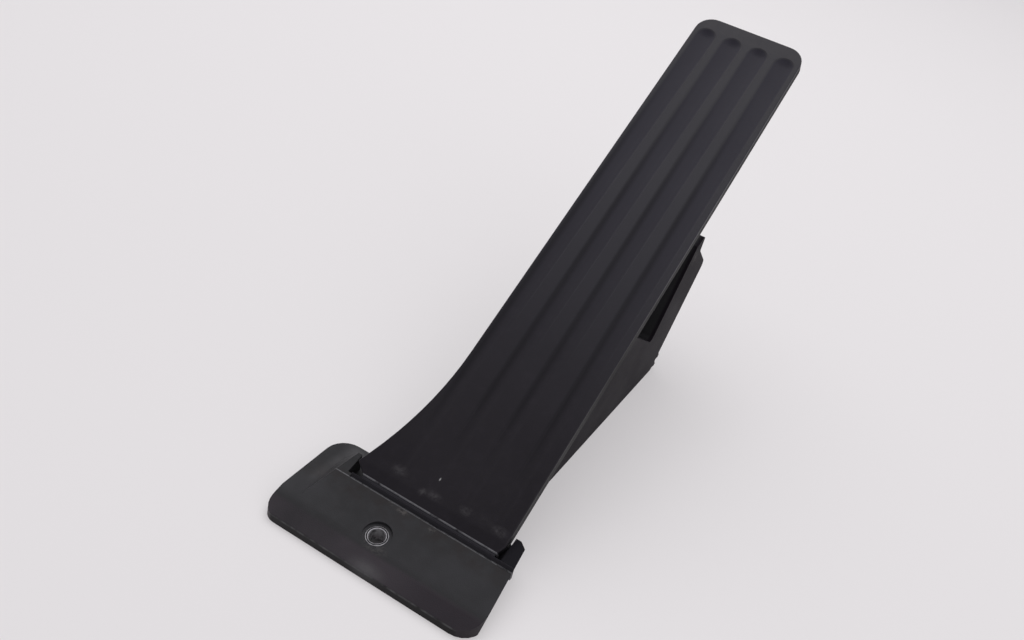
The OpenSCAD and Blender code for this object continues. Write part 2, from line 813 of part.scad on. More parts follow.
module base_housing() {
    color(base_black)
        car()
            difference() {
                base_solid();
                // Room for the pedal's lower end between the two ears
                translate([-pocket_left, swing_y, deck_z])
                    cube([pocket_left + pocket_right, pocket_len, far]);
                // Groove and slots for the hinge strip
                translate([strip_left - strip_gap, ramp_y, strip_top - strip_d - strip_gap])
                    cube([far, strip_t + 2 * strip_gap, far]);
                for (i = [0:lug_n - 1])
                    translate([film_mid + (i - (lug_n - 1) / 2) * film_w / lug_n - lug_w / 2 - strip_gap,
                        ramp_y, -1])
                        cube([lug_w + 2 * strip_gap, strip_t + 2 * strip_gap, far]);
                // Right ear sits level with the strip
                translate([pocket_right - eps, ramp_y, strip_top])
                    rotate([ramp_slope, 0, 0])
                        cube([far, far, far]);
                // Spot face and hole for the bolt sleeve
                translate([-bolt_left, bolt_y, 0])
                    rotate([bolt_tilt, 0, 0]) {
                        translate([0, 0, sleeve_len])
                            cylinder(h = far, r = spot_r);
                        translate([0, 0, -far / 2])
                            cylinder(h = far, r = sleeve_r + press_gap);
                    }
                // Bush bores, open to the pod on the left and blind on the right
                round_x(-side_x - 1, 0, bush_r + press_gap);
                round_x(0, side_x - skin, bush_r + press_gap);
                // Pod cavity, seal groove and screw holes
                round_x(-pod_x - 1, -side_x, pod_inner_r);
                translate([-pod_x - 1, pivot_y, pivot_z])
                    rotate([0, 90, 0])
                        difference() {
                            cylinder(h = 1 + 2 * seal_r, r = seal_ring + seal_r);
                            translate([0, 0, -1])
                                cylinder(h = far, r = seal_ring - seal_r);
                        }
                translate([-pod_x - 1, pivot_y, pivot_z])
                    at_screws()
                        rotate([0, 90, 0])
                            cylinder(h = screw_depth + 1, r = screw_r + press_gap);
                // Stem holes for the stops
                translate([0, idle_y, 0])
                    cylinder(h = heel_z, r = stem_r + press_gap);
                buffer_frame()
                    translate([0, 0, -stem_room])
                        cylinder(h = stem_room + 1, r = stem_r + press_gap);
            }
}
module mount_sleeve() {
    color(steel)
        car()
            translate([-bolt_left, bolt_y, 0])
                rotate([bolt_tilt, 0, 0])
                    translate([0, 0, sleeve_low])
                        difference() {
                            cylinder(h = sleeve_len - sleeve_low, r = sleeve_r);
                            translate([0, 0, -1])
                                cylinder(h = sleeve_len + 2, r = sleeve_bore_r);
                        }
}

// Stops
module buffer_frame() {
    translate([0, buffer_y, top_z(buffer_y)])
        rotate([top_slope, 0, 0])
            children();
}
module idle_stop_pad() {
    pad_top = heel_z - stop_gap;
    color(rubber_black)
        car()
            translate([0, idle_y, 0]) {
                translate([0, 0, deck_z])
                    cylinder(h = pad_top - deck_z, r = idle_r);
                translate([0, 0, deck_z - wall - 1])
                    cylinder(h = wall + 1 + lap, r = stem_r);
            }
}
module full_stop_buffer() {
    color(rubber_black)
        car()
            buffer_frame() {
                room = (full_rib_z(buffer_y) - top_z(buffer_y)) * cos(top_slope);
                cylinder(h = room - stop_gap, r = buffer_r);
                translate([0, 0, -shelf_t - 1])
                    cylinder(h = shelf_t + 1 + lap, r = stem_r);
            }
}

// Lever, shaft and shoe
module sensor_lever() {
    arm_end = lever_len - tongue_len;
    pocket = 2.2;
    web = 1;
    color(base_black)
        car()
            difference() {
                union() {
                    round_x(-hub_x, hub_x, hub_r);
                    across(-arm_x, arm_x)
                        lever_outline()
                            polygon([[0, arm_root], [arm_end, arm_tip], [arm_end + 2, tongue_b],
                                [lever_len, tongue_b], [lever_len, -tongue_b],
                                [arm_end + 2, -tongue_b], [arm_end, -arm_tip], [0, -arm_root]]);
                    across(-arm_x, arm_x)
                        polygon([pivot + [0, hub_r - 1], [idle_y - idle_r, pivot_z + 1],
                            [idle_y - idle_r, heel_z], [pivot_y, heel_z]]);
                    // Cross bar that the spring legs push against
                    across(-coil_out, coil_out)
                        lever_outline()
                            polygon([[lug_a, -coil_r + wire_r + 0.05],
                                [lug_a + lug_len, -coil_r + wire_r + 0.05],
                                [lug_a + lug_len, -arm_tip + 1], [lug_a, -arm_tip + 1]]);
                }
                round_x(-hub_x - 1, hub_x + 1, shaft_r + press_gap);
                for (x = [-arm_x - eps, web])
                    across(x, x + arm_x - web + eps)
                        lever_outline()
                            polygon([[hub_r + 2, arm_root - pocket - 0.5],
                                [arm_end - 3, arm_tip - pocket + 0.6],
                                [arm_end - 3, -arm_tip + pocket - 0.6],
                                [hub_r + 2, -arm_root + pocket + 0.5]]);
                shoe_pin_hole();
            }
}
pin_r = 1;
pin_back = 5;
pin_end_gap = 0.2;
pin_a = lever_len - pin_back;
module shoe_pin_hole() {
    across(-shoe_x - 1, shoe_x + 1)
        lever_outline()
            translate([pin_a, 0])
                circle(r = pin_r + press_gap);
}
module slide_shoe() {
    leg = 9.5;
    leg_b = 4.6;
    color(bush_cream)
        car()
            difference() {
                across(-shoe_x, shoe_x)
                    difference() {
                        union() {
                            lever_outline()
                                translate([lever_len, 0])
                                    circle(r = shoe_r);
                            lever_outline()
                                translate([lever_len - leg, -leg_b])
                                    square([leg, 2 * leg_b]);
                        }
                        lever_outline()
                            translate([lever_len - leg - 1, -tongue_b - press_gap])
                                square([leg + 1 + press_gap, 2 * (tongue_b + press_gap)]);
                    }
                shoe_pin_hole();
            }
}
module shoe_pin() {
    color(steel)
        car()
            across(-shoe_x + pin_end_gap, shoe_x - pin_end_gap)
                lever_outline()
                    translate([pin_a, 0])
                        circle(r = pin_r);
}
module lever_shaft() {
    color(steel)
        car()
            round_x(-shaft_left, shaft_right, shaft_r);
}

// Return springs: a ring of points swept along a leg, a coil and a second leg
module leg_spring(side) {
    steps = 22;
    sides = 8;
    turn = coil_sweep / (coil_turns * steps);
    coil = [for (i = [0:coil_turns * steps]) [i * turn, 0]];
    rows = concat([[0, -floor_leg]], coil, [[coil_sweep, arm_leg]]);
    points = [for (row = rows) let (
        a = row[0],
        x = coil_out - coil_pitch * a / 360,
        radial = [cos(a), sin(a)],
        tangent = [-sin(a), cos(a)],
        c = pivot + radial * coil_r + tangent * row[1])
        for (k = [0:sides - 1]) let (
            e = c + radial * wire_r * cos(360 * k / sides))
            [side * (x + wire_r * sin(360 * k / sides)), e[0], e[1]]];
    n = len(rows);
    walls = [for (i = [0:n - 2]) for (k = [0:sides - 1]) let (m = (k + 1) % sides)
        side > 0 ? [i * sides + k, i * sides + m, (i + 1) * sides + m, (i + 1) * sides + k]
            : [i * sides + k, (i + 1) * sides + k, (i + 1) * sides + m, i * sides + m]];
    first = [for (k = [0:sides - 1]) side > 0 ? sides - 1 - k : k];
    last = [for (k = [0:sides - 1]) (n - 1) * sides + (side > 0 ? k : sides - 1 - k)];
    polyhedron(points = points, faces = concat(walls, [first, last]));
}
module return_spring_left() {
    color(spring_steel)
        car()
            leg_spring(-1);
}
module return_spring_right() {
    color(spring_steel)
        car()
            leg_spring(1);
}

// Bushes and friction washers
module bush(side, end_x) {
    color(bush_cream)
        car()
            difference() {
                union() {
                    round_x(side > 0 ? flange_x : -end_x, side > 0 ? end_x : -flange_x, bush_r);
                    round_x(side > 0 ? flange_x : -boss_x, side > 0 ? boss_x : -flange_x, flange_r);
                }
                round_x(side > 0 ? 0 : -end_x - 1, side > 0 ? end_x + 1 : 0, bush_bore_r);
            }
}
module bush_left() {
    bush(-1, side_x);
}
module bush_right() {
    bush(1, side_x - skin);
}
module washer(side) {
    color(bush_cream)
        car()
            difference() {
                round_x(side > 0 ? washer_x : -washer_x - washer_t,
                    side > 0 ? washer_x + washer_t : -washer_x, hub_r - washer_in);
                round_x(-hub_x - 5, hub_x + 5, shaft_r + washer_bore_gap);
            }
}
module friction_washer_left() {
    washer(-1);
}
module friction_washer_right() {
    washer(1);
}

// Sensor
module magnet_carrier() {
    color(bush_cream)
        car()
            difference() {
                round_x(-carrier_from - carrier_len, -carrier_from, carrier_r);
                round_x(-magnet_x, -carrier_from + 1, shaft_r + press_gap);
                round_x(-carrier_from - carrier_len - 1, -magnet_x + eps, magnet_r + press_gap);
            }
}
module sensor_magnet() {
    color(chip_grey)
        car()
            round_x(-magnet_x - magnet_t, -magnet_x, magnet_r);
}
module circuit_board() {
    color(board_green)
        car()
            round_x(-board_x - board_t, -board_x, board_r);
}
module hall_sensors() {
    chip_w = 5.2;
    chip_h = 4;
    chip_apart = 3.4;
    color(chip_grey)
        car()
            for (z = [-chip_apart, chip_apart])
                translate([-board_x, pivot_y - chip_w / 2, pivot_z + z - chip_h / 2])
                    cube([chip_t, chip_w, chip_h]);
}
module at_pins() {
    for (i = [0:pin_rows - 1])
        for (j = [0:pin_cols - 1])
            translate([-plug_x - plug_w / 2 + (i - (pin_rows - 1) / 2) * pin_pitch,
                plug_y + plug_len - inlet_depth - pin_root,
                plug_z + (j - (pin_cols - 1) / 2) * pin_pitch])
                children();
}
module terminal_pins() {
    color(tin)
        car()
            at_pins()
                translate([-pin_w / 2, 0, -pin_w / 2])
                    cube([pin_w, pin_root + pin_out, pin_w]);
}
module sensor_cover() {
    color(base_black)
        car()
            difference() {
                union() {
                    round_x(-plug_x, -pod_x, pod_r);
                    translate([-plug_x, pivot_y, pivot_z])
                        at_screws()
                            rotate([0, 90, 0])
                                cylinder(h = cover_t, r = lug_r);
                    translate([-plug_x - plug_w, plug_y, plug_z - plug_h / 2])
                        cube([plug_w + lap, plug_len, plug_h]);
                    translate([-pod_x - eps, pivot_y, pivot_z])
                        rotate([0, 90, 0])
                            difference() {
                                cylinder(h = spigot_len, r = pod_inner_r - spigot_gap);
                                translate([0, 0, -1])
                                    cylinder(h = 4, r = pod_inner_r - spigot_in);
                            }
                }
                translate([-plug_x - plug_w + plug_wall, plug_y + plug_len - inlet_depth,
                    plug_z - plug_h / 2 + plug_wall])
                    cube([plug_w - 2 * plug_wall, inlet_depth + 1, plug_h - 2 * plug_wall]);
                at_pins()
                    translate([-pin_w / 2, 0, -pin_w / 2])
                        cube([pin_w, pin_root + 1, pin_w]);
                translate([-plug_x - 1, pivot_y, pivot_z])
                    at_screws()
                        rotate([0, 90, 0])
                            cylinder(h = cover_t + 2, r = screw_r + screw_gap);
            }
}
module cover_seal() {
    color(rubber_black)
        car()
            translate([-pod_x + seal_r, pivot_y, pivot_z])
                rotate([0, 90, 0])
                    rotate_extrude()
                        translate([seal_ring, 0])
                            circle(r = seal_r - seal_gap, $fn = 16);
}
module cover_screws() {
    color(steel)
        car()
            translate([-plug_x, pivot_y, pivot_z])
                at_screws()
                    rotate([0, 90, 0]) {
                        cylinder(h = cover_t + screw_depth - screw_end_gap, r = screw_r);
                        translate([0, 0, -head_h])
                            cylinder(h = head_h, r1 = head_r - head_taper, r2 = head_r);
                    }
}

base_housing();
mount_sleeve();
hinge_strip();
film_hinge();
pedal_plate();
idle_stop_pad();
full_stop_buffer();
sensor_lever();
slide_shoe();
shoe_pin();
lever_shaft();
return_spring_left();
return_spring_right();
bush_left();
bush_right();
friction_washer_left();
friction_washer_right();
magnet_carrier();
sensor_magnet();
circuit_board();
hall_sensors();
terminal_pins();
sensor_cover();
cover_seal();
cover_screws();
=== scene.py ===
import bpy, math
from mathutils import Matrix, Vector


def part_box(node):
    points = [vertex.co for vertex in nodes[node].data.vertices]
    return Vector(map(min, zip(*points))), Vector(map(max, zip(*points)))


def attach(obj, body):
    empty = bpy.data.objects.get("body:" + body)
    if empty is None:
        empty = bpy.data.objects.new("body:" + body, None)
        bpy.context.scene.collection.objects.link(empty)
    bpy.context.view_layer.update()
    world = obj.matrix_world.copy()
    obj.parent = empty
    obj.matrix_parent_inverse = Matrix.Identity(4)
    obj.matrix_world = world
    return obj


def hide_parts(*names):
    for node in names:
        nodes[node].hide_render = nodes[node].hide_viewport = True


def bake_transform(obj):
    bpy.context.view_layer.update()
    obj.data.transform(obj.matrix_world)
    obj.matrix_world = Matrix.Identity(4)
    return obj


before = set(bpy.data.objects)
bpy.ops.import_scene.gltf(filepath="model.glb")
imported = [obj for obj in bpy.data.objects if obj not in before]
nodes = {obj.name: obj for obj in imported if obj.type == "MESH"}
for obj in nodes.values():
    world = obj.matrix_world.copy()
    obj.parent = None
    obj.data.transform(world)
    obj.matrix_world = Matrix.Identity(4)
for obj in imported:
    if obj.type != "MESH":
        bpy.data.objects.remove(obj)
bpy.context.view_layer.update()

# Base housing: one glass-filled nylon moulding in satin black, with the foot's ramp and flap, the deck and
# the side walls. It has a fine spark-eroded grain, edges eased by the mould, and dust settled on the foot.
def select_only(obj):
    if bpy.context.object and bpy.context.object.mode != "OBJECT":
        bpy.ops.object.mode_set(mode="OBJECT")
    bpy.ops.object.select_all(action="DESELECT")
    obj.select_set(True)
    bpy.context.view_layer.objects.active = obj


def eased_copy(node, name, body, radius, segments=2, sharp=25, first=None, first_radius=0.0):
    """A copy of a CAD node with its sharp edges rounded, which stands for the node.

    first(a, b) says by its end points whether an edge gets the wider first_radius."""
    piece = bpy.data.objects.new(name, nodes[node].data.copy())
    bpy.context.scene.collection.objects.link(piece)
    select_only(piece)
    bpy.ops.object.mode_set(mode="EDIT")
    bpy.ops.mesh.select_all(action="SELECT")
    bpy.ops.mesh.remove_doubles(threshold=1e-6)
    bpy.ops.mesh.dissolve_limited(angle_limit=math.radians(0.5))
    if first:
        bpy.ops.mesh.select_mode(type="EDGE")
        bpy.ops.mesh.select_all(action="DESELECT")
        bpy.ops.mesh.edges_select_sharp(sharpness=math.radians(60))
        bpy.ops.object.mode_set(mode="OBJECT")
        corners = piece.data.vertices
        for line in piece.data.edges:
            line.select = line.select and first(*(corners[i].co for i in line.vertices))
        bpy.ops.object.mode_set(mode="EDIT")
        bpy.ops.mesh.bevel(offset=first_radius, segments=5, affect="EDGES")
        bpy.ops.mesh.select_mode(type="VERT")
    bpy.ops.object.mode_set(mode="OBJECT")
    edge = piece.modifiers.new("eased_edge", "BEVEL")
    edge.width = radius
    edge.segments = segments
    edge.limit_method = "ANGLE"
    edge.angle_limit = math.radians(sharp)
    edge.use_clamp_overlap = True
    edge.miter_outer = "MITER_ARC"
    bpy.ops.object.modifier_apply(modifier=edge.name)
    bpy.ops.object.shade_smooth_by_angle(angle=math.radians(32))
    # A shallow crease between two large flat faces stays crisp
    large = 6e-5
    shallow = math.radians(2)
    sides = {}
    for face in piece.data.polygons:
        for key in face.edge_keys:
            sides.setdefault(key, []).append(face)
    for line in piece.data.edges:
        faces = sides.get(line.key, [])
        if len(faces) == 2 and min(face.area for face in faces) > large:
            if faces[0].normal.angle(faces[1].normal, 0) > shallow:
                line.use_edge_sharp = True
    flat = piece.modifiers.new("flat_faces", "WEIGHTED_NORMAL")
    flat.keep_sharp = True
    flat.weight = 100
    bpy.ops.object.modifier_apply(modifier=flat.name)
    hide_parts(node)
    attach(piece, body)
    return piece


def shader(mat, kind, **values):
    """A shader node with some of its inputs set or linked."""
    made = mat.node_tree.nodes.new(kind)
    for key, value in values.items():
        if hasattr(made, key) and key not in made.inputs:
            setattr(made, key, value)
            continue
        socket = made.inputs[int(key[1:])] if key[0] == "i" and key[1:].isdigit() else made.inputs[key]
        if isinstance(value, bpy.types.NodeSocket):
            mat.node_tree.links.new(value, socket)
        else:
            socket.default_value = value
    return made


def place_of(mat):
    """The object coordinates that every pattern reads."""
    found = mat.node_tree.nodes.get("place")
    if found is None:
        found = mat.node_tree.nodes.new("ShaderNodeTexCoord")
        found.name = "place"
    return found.outputs["Object"]


def cloud(mat, scale, low, high, detail=4.0, stretch=(1, 1, 1), turn=(0, 0, 0)):
    """Noise between 0 and 1, cut to the part between low and high."""
    spot = shader(mat, "ShaderNodeMapping", Vector=place_of(mat), Scale=stretch, Rotation=turn).outputs[0]
    noise = shader(mat, "ShaderNodeTexNoise", Vector=spot, Scale=scale, Detail=detail)
    return shader(mat, "ShaderNodeMapRange", Value=noise.outputs["Fac"], i1=low, i2=high).outputs[0]


def eased(mat, value, zero, one):
    """0 to 1 between two values, with a soft start and end."""
    return shader(mat, "ShaderNodeMapRange", interpolation_type="SMOOTHSTEP",
                  Value=value, i1=zero, i2=one).outputs[0]


def around(mat, at, reach, squash=(1, 1, 1)):
    """1 at a point and 0 from reach outwards."""
    away = shader(mat, "ShaderNodeVectorMath", operation="SUBTRACT", i0=place_of(mat), i1=at).outputs[0]
    scaled = shader(mat, "ShaderNodeVectorMath", operation="MULTIPLY", i0=away, i1=squash).outputs[0]
    far = shader(mat, "ShaderNodeVectorMath", operation="LENGTH", i0=scaled).outputs["Value"]
    return eased(mat, far, reach, 0.0)


def along(mat, axis, zero, one):
    """0 to 1 between two places on an axis."""
    part = shader(mat, "ShaderNodeSeparateXYZ", Vector=place_of(mat)).outputs[axis]
    return eased(mat, part, zero, one)


def both(mat, *masks):
    """Masks multiplied together; a plain number sets how strong the result is."""
    made = masks[0]
    for mask in masks[1:]:
        made = shader(mat, "ShaderNodeMath", operation="MULTIPLY", i0=made, i1=mask).outputs[0]
    return made


def paint(mat, mask, colour):
    """Lays a colour over what the surface has, where the mask says."""
    surface = mat.node_tree.nodes["Principled BSDF"]
    socket = surface.inputs["Base Color"]
    under = socket.links[0].from_socket if socket.is_linked else tuple(socket.default_value)
    mix = shader(mat, "ShaderNodeMix", data_type="RGBA", i0=mask, i6=under, i7=(*colour, 1))
    mat.node_tree.links.new(mix.outputs[2], socket)


def dulled(mat, mask, level):
    """Sets a lower specular level where the mask says."""
    socket = mat.node_tree.nodes["Principled BSDF"].inputs["Specular IOR Level"]
    under = socket.links[0].from_socket if socket.is_linked else socket.default_value
    mix = shader(mat, "ShaderNodeMix", data_type="FLOAT", i0=mask, i2=under, i3=level)
    mat.node_tree.links.new(mix.outputs[0], socket)


def moulded(name, colour, rough, grain=0.00004, cell=0.0004, level=0.5):
    """Moulded plastic: an uneven tone, fine lighter specks and a fine grain."""
    mat = bpy.data.materials.new(name)
    mat.use_nodes = True
    surface = mat.node_tree.nodes["Principled BSDF"]
    surface.inputs["Base Color"].default_value = (*colour, 1)
    paint(mat, both(mat, cloud(mat, 22, 0.35, 0.75), 0.5), [1.5 * c for c in colour])
    paint(mat, both(mat, cloud(mat, 260, 0.5, 0.75, 6), 0.35), [1.9 * c for c in colour])
    wide = cloud(mat, 35, 0.3, 0.7)
    dull = shader(mat, "ShaderNodeMapRange", Value=wide, i3=rough - 0.05, i4=rough + 0.07).outputs[0]
    mat.node_tree.links.new(dull, surface.inputs["Roughness"])
    fine = shader(mat, "ShaderNodeTexNoise", Vector=place_of(mat), Scale=1 / cell, Detail=2.0)
    bump = shader(mat, "ShaderNodeBump", Height=fine.outputs["Fac"], Distance=grain, Strength=1.0)
    mat.node_tree.links.new(bump.outputs[0], surface.inputs["Normal"])
    surface.inputs["Specular IOR Level"].default_value = level
    return mat


def coat(obj, mat):
    """Puts one material on the whole piece."""
    obj.data.materials.clear()
    obj.data.materials.append(mat)


housing = eased_copy("base_housing", "housing", "base", 0.0005)
housing_black = moulded("housing_black", (0.0125, 0.0125, 0.0135), 0.55, level=0.3)
X, Y, Z = 0, 1, 2
foot = along(housing_black, Y, 0.02, 0.0)
# The ramp's middle is painted greyer as painted light, its front strip is browner and painted darker as shade,
# and along the hinge strip it is darker and browner
ramp = along(housing_black, Y, -0.009, -0.004)
# Painted light: the ramp's middle is painted greyer
paint(housing_black, both(housing_black, foot, ramp, cloud(housing_black, 60, 0.3, 0.7), 0.6),
      (0.0275, 0.0270, 0.0305))
front = along(housing_black, Y, -0.0068, -0.0092)
right_half = along(housing_black, X, 0.008, 0.032)
paint(housing_black, both(housing_black, front, cloud(housing_black, 45, 0.1, 0.6)), (0.036, 0.0305, 0.036))
# Painted shade: the front strip's right half is painted darker, and the strip is duller
paint(housing_black, both(housing_black, front, right_half, 0.75), (0.017, 0.0135, 0.0175))
dulled(housing_black, both(housing_black, front, 0.9), 0.22)
brown = both(housing_black, foot, along(housing_black, Y, 0.003, 0.0115),
             cloud(housing_black, 190, 0.38, 0.62, 5))
paint(housing_black, both(housing_black, brown, 0.85), (0.021, 0.0155, 0.0145))
dulled(housing_black, both(housing_black, brown, 0.8), 0.12)
# The front face is painted darker below as painted shade, and its upper lip carries a painted highlight in grey
front_face = along(housing_black, Y, -0.0146, -0.0149)
upper_lip = along(housing_black, Z, 0.0024, 0.0029)
paint(housing_black, both(housing_black, front_face, 0.9), (0.008, 0.0075, 0.008))
paint(housing_black, both(housing_black, front_face, cloud(housing_black, 260, 0.3, 0.6), upper_lip, 0.8),
      (0.085, 0.085, 0.087))
# The right ear is painted darker as shade from the pedal, and the side walls are duller and browner
ear = both(housing_black, along(housing_black, X, 0.036, 0.039), along(housing_black, Y, 0.0127, 0.0135),
           along(housing_black, Y, 0.04, 0.03))
paint(housing_black, ear, (0.0085, 0.008, 0.0105))
dulled(housing_black, ear, 0.1)
walls = both(housing_black, along(housing_black, X, 0.0300, 0.0315), along(housing_black, Y, 0.03, 0.04))
paint(housing_black, both(housing_black, walls, 0.95), (0.0115, 0.0093, 0.0125))
dulled(housing_black, walls, 0.05)
# Dust marks: each is a point, its reach, how it is drawn out and how strong it is
dust = (0.10, 0.092, 0.088)
for at, reach, squash, strength in (((0.0020, -0.0057, 0.0069), 0.0045, (0.6, 1.4, 1), 0.35),
                                    ((0.0018, 0.0112, 0.012), 0.0028, (0.7, 1.6, 1), 0.6),
                                    ((0.0156, 0.0108, 0.0119), 0.002, (0.8, 1.3, 1), 0.6),
                                    ((-0.0035, 0.0119, 0.0122), 0.0016, (1, 1, 1), 0.5),
                                    ((0.0324, 0.1935, 0.061), 0.0045, (1, 1, 0.8), 0.6)):
    specks = cloud(housing_black, 900, 0.42, 0.62, 3)
    mark = both(housing_black, around(housing_black, at, reach, squash), specks, strength)
    paint(housing_black, mark, dust)
# The left ear's crease is painted lighter as painted light, a place at the front is lighter, and the gaps
# beside the hinge are painted lighter as painted light
for at, reach, squash, strength, tone in (((-0.0341, 0.0292, 0.0115), 0.0075, (1.2, 0.8, 1), 0.8, 0.075),
                                          ((-0.0349, 0.0204, 0.0108), 0.0075, (1.5, 0.8, 1), 0.65, 0.07),
                                          ((-0.0359, 0.0105, 0.0098), 0.007, (1.8, 0.8, 1), 0.5, 0.065),
                                          ((0.0042, -0.0138, 0.0045), 0.009, (0.8, 2.0, 1), 0.7, 0.08),
                                          ((-0.0300, 0.0280, 0.0090), 0.0065, (1, 1, 0.7), 1.0, 0.085),
                                          ((0.0371, 0.0278, 0.0090), 0.0045, (1, 1, 0.7), 0.9, 0.035)):
    lighter = cloud(housing_black, 150, 0.1, 0.6)
    patch = both(housing_black, around(housing_black, at, reach, squash), lighter, strength)
    paint(housing_black, patch, (tone, 0.98 * tone, 1.02 * tone))
# The edge along the strip's groove has a thin pale line
pale_line_cloud = (420, 0.25, 0.5)
groove_edge = both(housing_black, along(housing_black, Y, 0.01205, 0.01225),
                   along(housing_black, Y, 0.0126, 0.0124), along(housing_black, Z, 0.0112, 0.0116),
                   cloud(housing_black, *pale_line_cloud), 0.8)
paint(housing_black, groove_edge, (0.15, 0.15, 0.16))
coat(housing, housing_black)

# Pedal plate: polypropylene, moulded in one with its film hinge. The four grooves fan out and fade towards the
# hinge.
# The ridges and rims are rubbed lighter by shoes, and the grooves' lower ends have lighter marks.
hinge_line = Vector((0.0, 0.015035, 0.0138))
slope = math.radians(32.3)
across = Vector((1, 0, 0))
uphill = Vector((0, math.cos(slope), math.sin(slope)))
outward = Vector((0, -math.sin(slope), math.cos(slope)))
middle_line = 0.0144


def on_plate(x, s, d=0.0):
    """A point of the plate: across from its middle line, up along it and out of its face, in metres."""
    return Vector((x + middle_line, 0, 0)) + hinge_line + s * uphill + d * outward


def from_hinge(mat, way):
    """The distance from the hinge line, measured along a direction."""
    away = shader(mat, "ShaderNodeVectorMath", operation="SUBTRACT", i0=place_of(mat), i1=hinge_line).outputs[0]
    return shader(mat, "ShaderNodeVectorMath", operation="DOT_PRODUCT", i0=away, i1=way).outputs["Value"]


def along_plate(mat, way, zero, one):
    """0 to 1 between two distances from the hinge line, measured along a direction."""
    return eased(mat, from_hinge(mat, way), zero, one)


def pale_marks(mat, spots, colour):
    """Small lighter places: each is a point, its reach, how it is drawn out and how strong it is."""
    for at, reach, squash, strength in spots:
        paint(mat, both(mat, around(mat, at, reach, squash), cloud(mat, 620, 0.3, 0.8, 2), strength), colour)


def on_top(a, b):
    """Whether an edge lies in the plate's upper face, by its end points."""
    below = -1e-4
    return min((a - hinge_line).dot(outward), (b - hinge_line).dot(outward)) > below


pedal = eased_copy("pedal_plate", "pedal", "pedal", 0.0004, first=on_top, first_radius=0.00055)
pedal_black = moulded("pedal_black", (0.0092, 0.0078, 0.0103), 0.45, level=0.27)
# Painted reflection: the plate is painted lighter towards its top end
paint(pedal_black, along_plate(pedal_black, uphill, 0.02, 0.2), (0.02, 0.0185, 0.0265))
top = along_plate(pedal_black, outward, -0.0005, -0.00005)
paint(pedal_black, both(pedal_black, top, along_plate(pedal_black, uphill, 0.03, 0.27), 0.8),
      (0.038, 0.037, 0.041))
# Painted highlight: the top end's rim is painted lighter still
paint(pedal_black, both(pedal_black, along_plate(pedal_black, uphill, 0.2555, 0.2575), top,
                        cloud(pedal_black, 300, 0.3, 0.6), 0.7), (0.04, 0.038, 0.042))
# Painted shade: the plate's side faces are painted darker and duller
rim_side = along_plate(pedal_black, outward, -0.0014, -0.0017)
right_side = both(pedal_black, along_plate(pedal_black, across, 0.0408, 0.0411),
                  along_plate(pedal_black, outward, -0.0006, -0.0009))
for side in (rim_side, right_side):
    paint(pedal_black, side, (0.008, 0.0075, 0.0085))
    dulled(pedal_black, side, 0.05)


def grade(mat, low, high):
    """A number that runs from its value at the grooves' lower ends to that at their upper ends."""
    return shader(mat, "ShaderNodeMapRange", Value=from_hinge(mat, uphill),
                  i1=0.007, i2=0.257, i3=low, i4=high).outputs[0]


def arithmetic(mat, operation, first, second):
    """One step of arithmetic on two numbers or sockets."""
    return shader(mat, "ShaderNodeMath", operation=operation, i0=first, i1=second).outputs[0]


# Painted shade lies along the left wall of each groove. The grooves' pitch and the place of that wall in it,
# as a share of the pitch, both change towards the hinge.
beside = shader(pedal_black, "ShaderNodeSeparateXYZ", Vector=place_of(pedal_black)).outputs[X]
first_groove = grade(pedal_black, 0.01305, 0.01375)
pitch = grade(pedal_black, 0.0144, 0.01285)
wall_share = grade(pedal_black, 0.32, 0.11)
from_first = arithmetic(pedal_black, "SUBTRACT", beside, first_groove)
grooves_over = arithmetic(pedal_black, "DIVIDE", from_first, pitch)
within = shader(pedal_black, "ShaderNodeMath", operation="FRACT", i0=grooves_over).outputs[0]
from_wall = arithmetic(pedal_black, "SUBTRACT", within, wall_share)
groove_wall_shade = both(pedal_black, eased(pedal_black, from_wall, -0.09, 0.03), eased(pedal_black, from_wall, 0.24, 0.05),
            along_plate(pedal_black, uphill, 0.02, 0.06), along_plate(pedal_black, uphill, 0.255, 0.15), 0.62)
paint(pedal_black, groove_wall_shade, (0.005, 0.0045, 0.006))
dulled(pedal_black, groove_wall_shade, 0.18)
# The lower end is dull, its edge has a thin pale line, and the grooves' ends have lighter marks
low_end = along_plate(pedal_black, uphill, 0.0062, 0.0042)
dulled(pedal_black, both(pedal_black, low_end, 0.9), 0.2)
pale_marks(pedal_black, [(on_plate(-0.0229, 0.0088), 0.0035, (0.7, 1.2, 1.2), 0.55),
                     (on_plate(-0.0107, 0.0059), 0.0022, (1, 1, 1), 0.7),
                     (on_plate(-0.006, 0.0068), 0.003, (0.6, 1.3, 1.3), 0.6),
                     (on_plate(0.0077, 0.0081), 0.003, (0.8, 1.2, 1.2), 0.6),
                     (on_plate(0.0229, 0.0078), 0.0034, (0.7, 1.3, 1.3), 0.65),
                     (on_plate(0.0155, 0.0085), 0.004, (0.5, 1.5, 1.5), 0.12)], (0.085, 0.08, 0.085))
speck = around(pedal_black, on_plate(-0.0076, 0.0135), 0.0007, (1.6, 0.7, 0.7))
paint(pedal_black, speck, (0.5, 0.5, 0.5))
pale_edge_line = both(pedal_black, along_plate(pedal_black, uphill, 0.0008, 0.0006),
                cloud(pedal_black, *pale_line_cloud), 0.8)
paint(pedal_black, pale_edge_line, (0.18, 0.18, 0.19))
coat(pedal, pedal_black)

